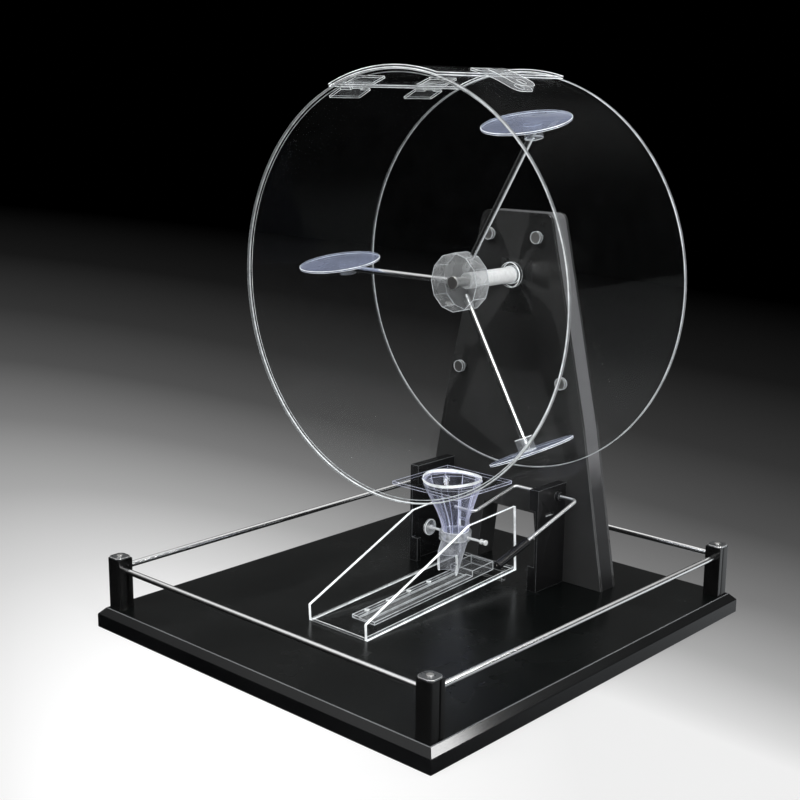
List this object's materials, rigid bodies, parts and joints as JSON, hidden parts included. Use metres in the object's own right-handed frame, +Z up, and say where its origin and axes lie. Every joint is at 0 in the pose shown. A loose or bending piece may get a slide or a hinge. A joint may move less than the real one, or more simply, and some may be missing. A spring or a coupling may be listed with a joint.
{
  "type": "raffle drum with crank",
  "caption": "Clear ball-drawing drum on a black tower and base, with a paddle rotor, hinged lid, funnel outlet, crank-worked gate, catching tray and corner rails.",
  "frame": {"origin": "middle of the base board's underside", "axes": "+Z up; +Y from the drum's clear front face back to the tower; +X to the right, the crank's side"},
  "size_m": [0.45, 0.49, 0.5576],
  "materials": {
    "black_board": "gloss",
    "black_acrylic": "gloss",
    "clear_acrylic": "clear gloss",
    "tinted_acrylic": "clear gloss",
    "frosted_white": "frosted",
    "chrome": "polished",
    "post_metal": "gloss",
    "dark_metal": "satin",
    "gear_metal": "satin",
    "switch_red": "gloss",
    "grip_black": "satin"
  },
  "bodies": {
    "frame": {"base_board": "black_board", "corner_post_front_left": "post_metal", "corner_post_front_right": "post_metal", "corner_post_rear_left": "post_metal", "corner_post_rear_right": "post_metal", "crank_cheek_left": "black_acrylic", "crank_cheek_right": "black_acrylic", "drive_motor": "gear_metal", "drum_front_plate": "clear_acrylic", "drum_rear_plate": "clear_acrylic", "drum_screws": "chrome", "drum_wall": "clear_acrylic", "gearbox": "gear_metal", "guide_ramp": "clear_acrylic", "hinge_pins": "chrome", "hinge_wall_leaves": "clear_acrylic", "latch_stud": "clear_acrylic", "outlet_collar": "frosted_white", "outlet_funnel": "tinted_acrylic", "outlet_spout": "tinted_acrylic", "outlet_stays": "frosted_white", "post_cap_screws": "chrome", "post_caps": "post_metal", "power_socket": "black_acrylic", "power_switch_frame": "black_acrylic", "rail_front": "chrome", "rail_left": "chrome", "rail_rear": "chrome", "rail_right": "chrome", "ramp_screws": "frosted_white", "shaft_flange": "clear_acrylic", "stay_disc": "clear_acrylic", "tower_back_cover": "black_acrylic", "tower_cover_screws": "chrome", "tower_front_panel": "black_acrylic", "tower_legs": "black_acrylic", "tower_outer_band": "black_acrylic", "tray_floor": "clear_acrylic", "tray_prop": "clear_acrylic", "tray_wall_left": "clear_acrylic", "tray_wall_right": "clear_acrylic"},
    "rotor": {"rotor_hub": "clear_acrylic", "arm_left": "chrome", "arm_upper": "chrome", "arm_lower": "chrome", "paddle_clamp_left": "clear_acrylic", "paddle_clamp_upper": "clear_acrylic", "paddle_clamp_lower": "clear_acrylic", "paddle_left": "tinted_acrylic", "paddle_upper": "tinted_acrylic", "paddle_lower": "tinted_acrylic", "rotor_shaft": "dark_metal", "shaft_sleeve": "frosted_white"},
    "lid": {"filling_lid": "clear_acrylic", "hinge_lid_leaves": "clear_acrylic", "latch_base": "clear_acrylic"},
    "hasp": {"latch_strap": "clear_acrylic"},
    "crank": {"crank_wire": "chrome", "crank_grip": "grip_black"},
    "rocker": {"power_switch_rocker": "switch_red"}
  },
  "joints": [
    {"name": "rotor_spin", "type": "hinge", "parent": "frame", "child": "rotor", "pos_m": [-0.006, 0.05555, 0.3458], "axis": [0, 1, 0], "continuous": true},
    {"name": "lid_hinge", "type": "hinge", "parent": "frame", "child": "lid", "pos_m": [-0.09431, 0.04925, 0.54139], "axis": [0, -1, 0], "range_deg": [0, 110]},
    {"name": "strap_hinge", "type": "hinge", "parent": "lid", "child": "hasp", "pos_m": [0.05359, 0.0285, 0.55227], "axis": [0, -1, 0], "range_deg": [0, 150]},
    {"name": "crank_tilt", "type": "hinge", "parent": "frame", "child": "crank", "pos_m": [0.064, 0.13, 0.1198], "axis": [1, 0, 0], "range_deg": [0, 17]},
    {"name": "switch_tilt", "type": "hinge", "parent": "frame", "child": "rocker", "pos_m": [-0.028, 0.1684, 0.1257], "axis": [1, 0, 0], "range_deg": [-7, 7]}
  ]
}
